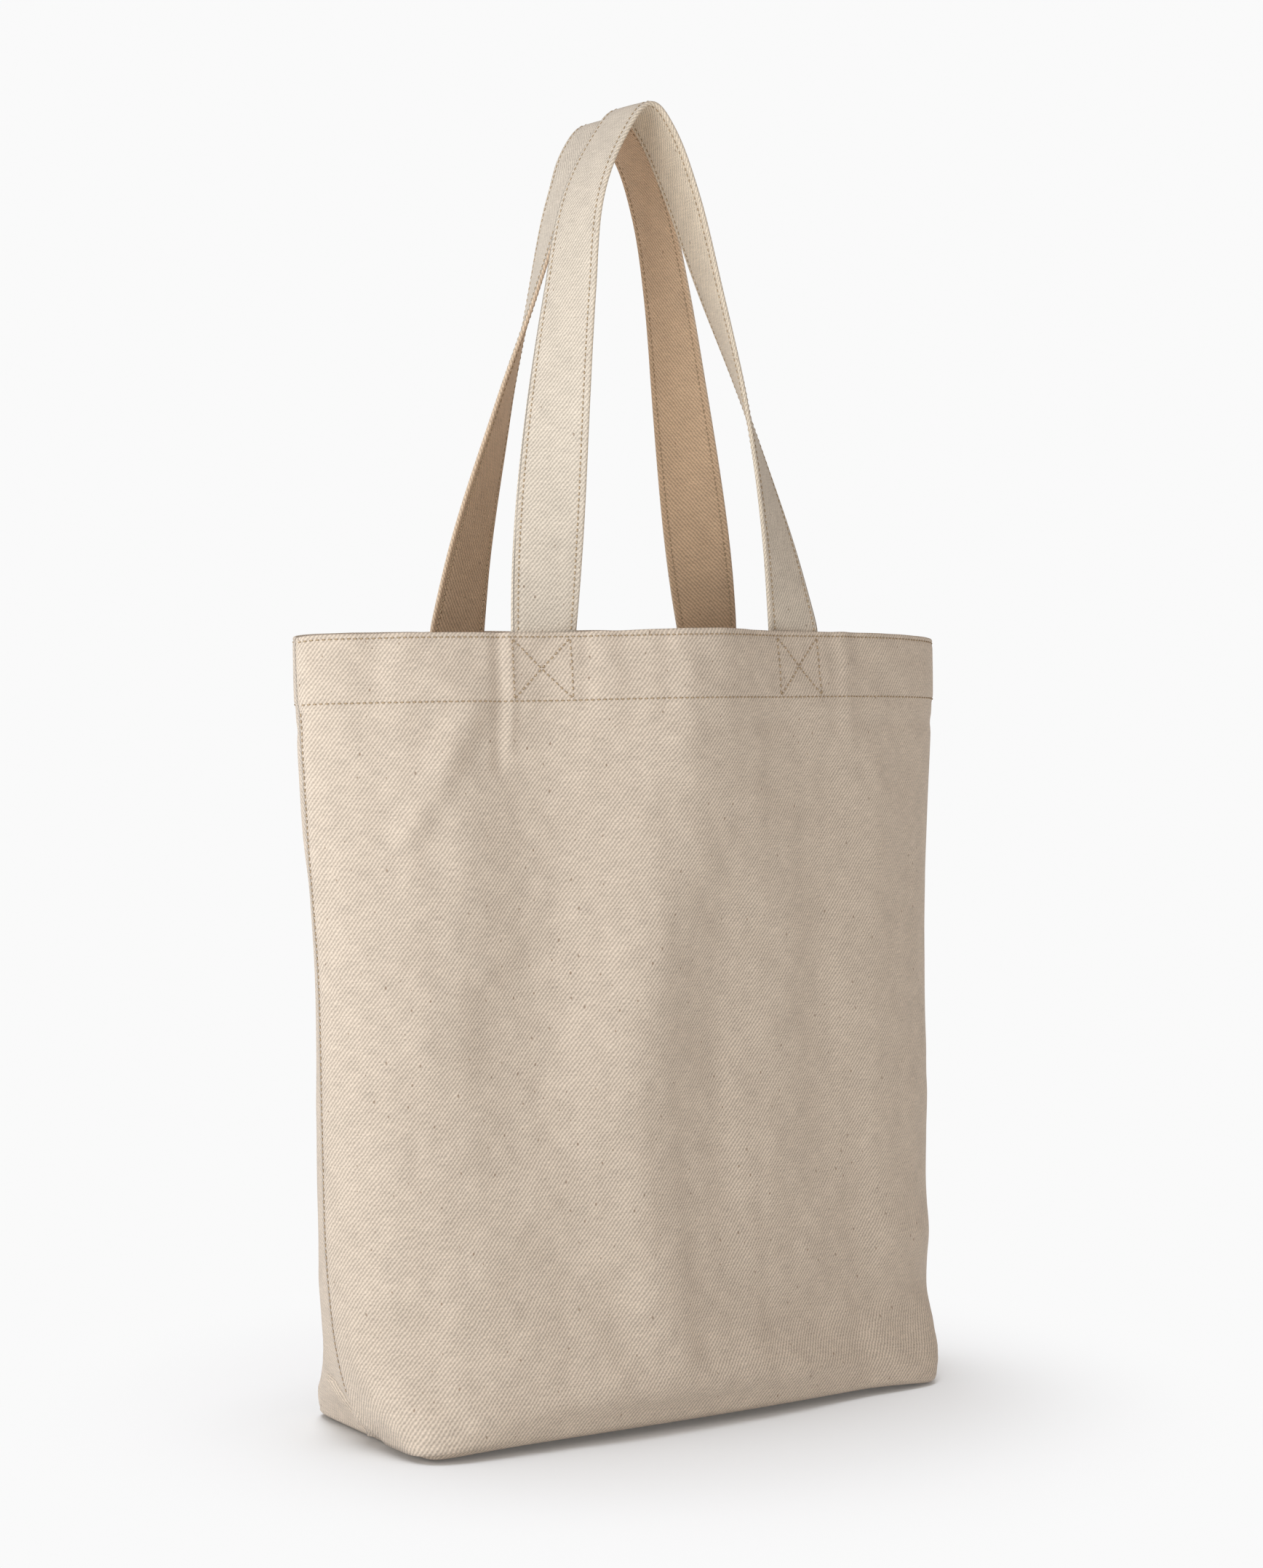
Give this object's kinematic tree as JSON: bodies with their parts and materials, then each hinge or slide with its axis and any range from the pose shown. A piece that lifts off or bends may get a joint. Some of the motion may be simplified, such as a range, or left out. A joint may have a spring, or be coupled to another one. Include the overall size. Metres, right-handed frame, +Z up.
{
  "type": "canvas tote bag",
  "caption": "Open-top canvas tote bag with a boxed flat base, a turned hem and carrying handles of flat folded strap.",
  "frame": {"origin": "middle of the base, on the surface the bag stands on", "axes": "+Z up towards the mouth and handles, +Y from the front panel to the back panel, +X to the right seen from the front"},
  "size_m": [0.3734, 0.1204, 0.6431],
  "materials": {
    "canvas": "natural unbleached twill canvas, matte",
    "strap_canvas": "folded natural canvas strap, matte",
    "thread": "cotton sewing thread, matte"
  },
  "bodies": {
    "bag": {"front_panel": "canvas", "back_panel": "canvas", "front_hem": "canvas", "back_hem": "canvas", "left_side_seam": "canvas", "right_side_seam": "canvas", "base_seam": "canvas", "left_corner_seam": "canvas", "right_corner_seam": "canvas", "front_handle_left_end": "strap_canvas", "front_handle_right_end": "strap_canvas", "back_handle_left_end": "strap_canvas", "back_handle_right_end": "strap_canvas", "hem_edge_stitching": "thread", "hem_lower_stitching": "thread", "left_side_stitching": "thread", "right_side_stitching": "thread", "front_left_cross_stitching": "thread", "front_right_cross_stitching": "thread", "back_left_cross_stitching": "thread", "back_right_cross_stitching": "thread"},
    "front_handle": {"front_handle": "strap_canvas", "front_handle_stitching": "thread"},
    "back_handle": {"back_handle": "strap_canvas", "back_handle_stitching": "thread"}
  },
  "joints": [
    {"name": "front_handle_fold", "type": "hinge", "parent": "bag", "child": "front_handle", "pos_m": [0, -0.0445, 0.381], "axis": [1, 0, 0], "range_deg": [0, 168]},
    {"name": "back_handle_fold", "type": "hinge", "parent": "bag", "child": "back_handle", "pos_m": [0, 0.0445, 0.381], "axis": [-1, 0, 0], "range_deg": [0, 168]}
  ]
}
